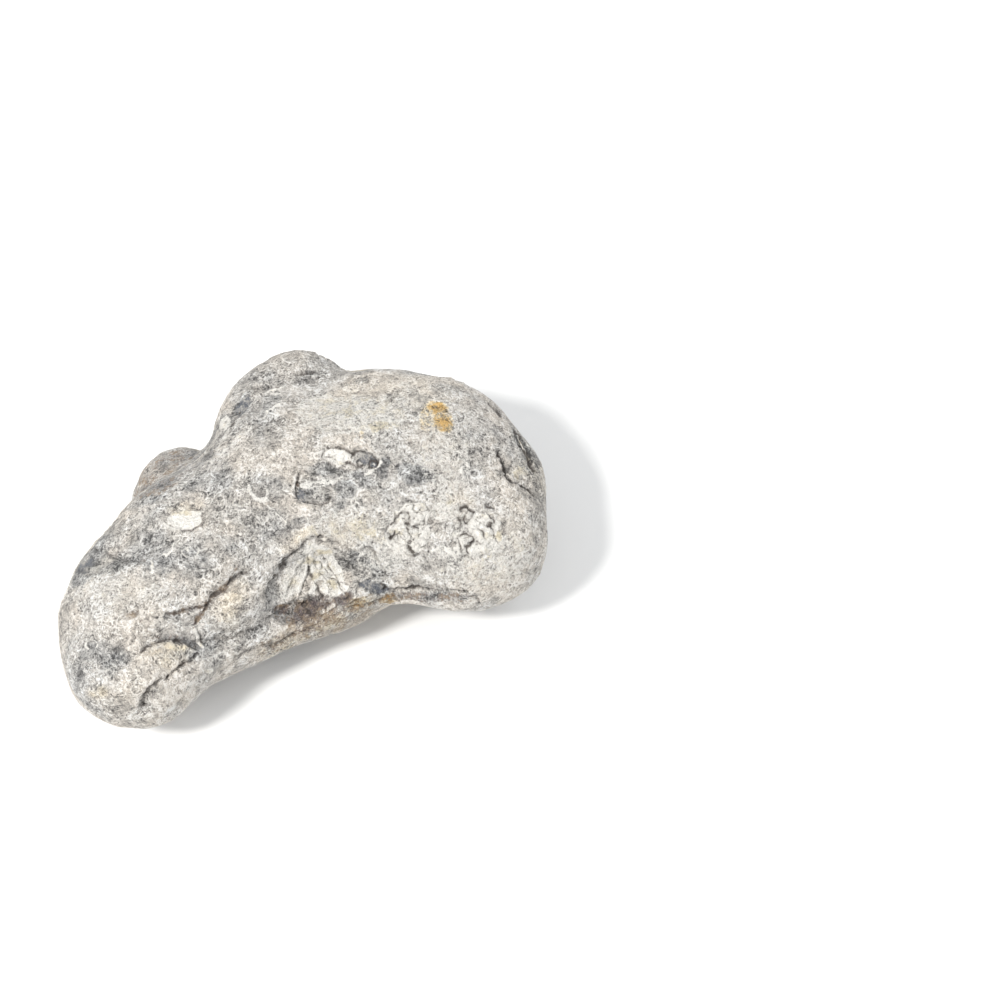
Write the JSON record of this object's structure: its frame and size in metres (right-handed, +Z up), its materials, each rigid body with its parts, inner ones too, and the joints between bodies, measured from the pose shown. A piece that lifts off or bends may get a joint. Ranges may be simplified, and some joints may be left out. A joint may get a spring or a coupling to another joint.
{
  "type": "flint nodule",
  "caption": "Lobed, beach-worn flint nodule: a long foot, a broad rounded shoulder and a small knob around a scooped alcove, resting on a small flat spot.",
  "frame": {"origin": "middle of the underside of the box around the nodule, level with the flat spot it rests on", "axes": "+Z up, +X along the nodule's length towards its broad shoulder, -Y towards the front with the alcove and the long furrow"},
  "size_m": [0.175, 0.15, 0.0685],
  "materials": {
    "flint_cortex": "matt worn cortex, finely battered all over"
  },
  "bodies": {
    "root": {"nodule": "flint_cortex"}
  },
  "joints": []
}
